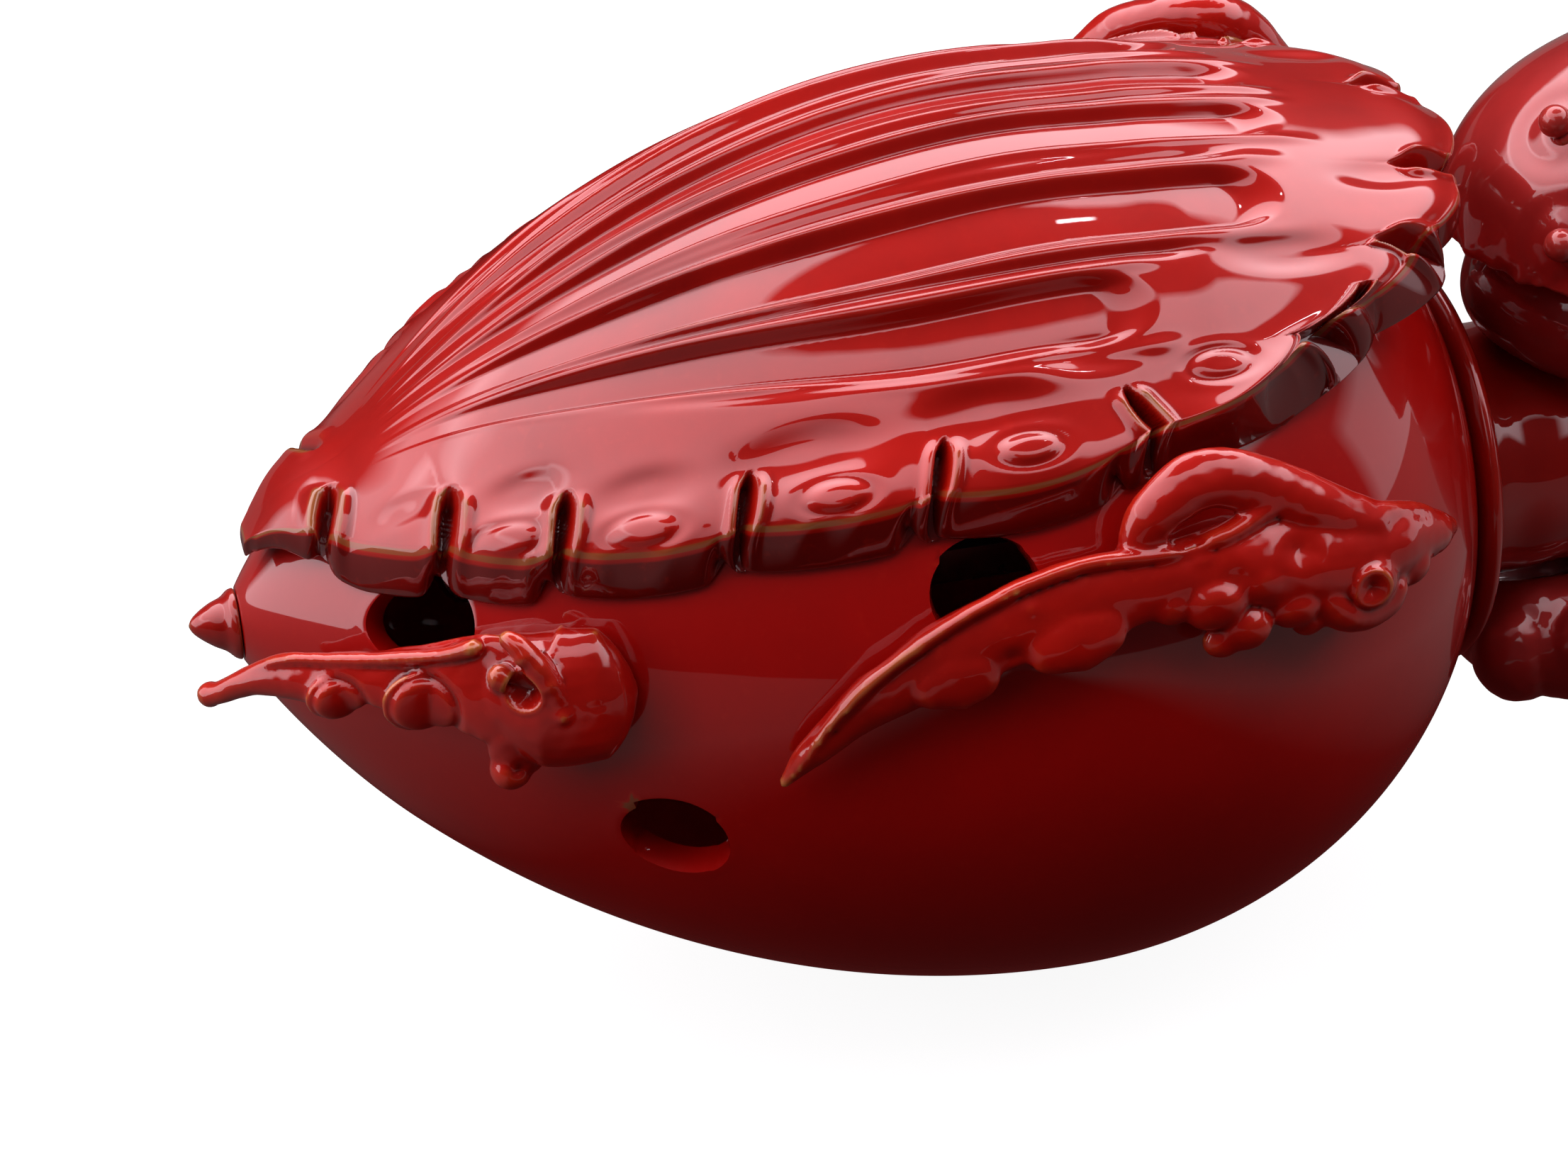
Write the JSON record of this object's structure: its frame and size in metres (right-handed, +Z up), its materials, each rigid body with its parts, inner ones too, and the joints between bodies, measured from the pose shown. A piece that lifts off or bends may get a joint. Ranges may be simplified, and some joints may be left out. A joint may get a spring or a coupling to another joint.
{
  "type": "lobster cracker",
  "caption": "Figural lobster cracker: hollow enamelled body with claws and hooded head, hinged fluted carapace lever, toothed jaws inside.",
  "frame": {"origin": "centre of the underside of the base pad, on the table, under the widest section of the body", "axes": "+X towards the head, +Y to the creature's left, +Z up"},
  "size_m": [0.1305, 0.0662, 0.0649],
  "materials": {
    "red_enamel": "translucent red enamel on cast brass, high gloss, gold-brown where it thins at edges",
    "dark_enamel": "thicker, darker red enamel on cast brass, high gloss",
    "steel": "stainless steel, satin, machined",
    "rubber": "matt black rubber"
  },
  "bodies": {
    "lower_lever": {"belly_shell": "red_enamel", "tail_cap": "red_enamel", "neck_collar": "red_enamel", "neck": "red_enamel", "front_left_claw": "red_enamel", "front_right_claw": "red_enamel", "rear_left_claw": "red_enamel", "rear_right_claw": "red_enamel", "head": "dark_enamel", "chin": "dark_enamel", "upper_knob": "dark_enamel", "lower_knob": "dark_enamel", "lower_jaw_plate": "steel", "tie_bolt": "steel", "hinge_pin": "steel", "hinge_clip": "steel", "hinge_washer_left": "steel", "hinge_washer_right": "steel", "lower_plate_screw_1": "steel", "lower_plate_screw_2": "steel", "lower_plate_screw_3": "steel", "lower_plate_screw_4": "steel", "front_left_claw_screw": "steel", "front_right_claw_screw": "steel", "rear_left_claw_screw": "steel", "rear_right_claw_screw": "steel", "base_pad": "rubber"},
    "upper_lever": {"carapace_shell": "red_enamel", "upper_jaw_plate": "steel", "closing_bumper": "rubber", "upper_plate_screw_1": "steel", "upper_plate_screw_2": "steel", "upper_plate_screw_3": "steel", "upper_plate_screw_4": "steel"}
  },
  "joints": [
    {"name": "carapace_hinge", "type": "hinge", "parent": "lower_lever", "child": "upper_lever", "pos_m": [0.025, 0, 0.0564], "axis": [0, 1, 0], "range_deg": [0, 35]}
  ]
}
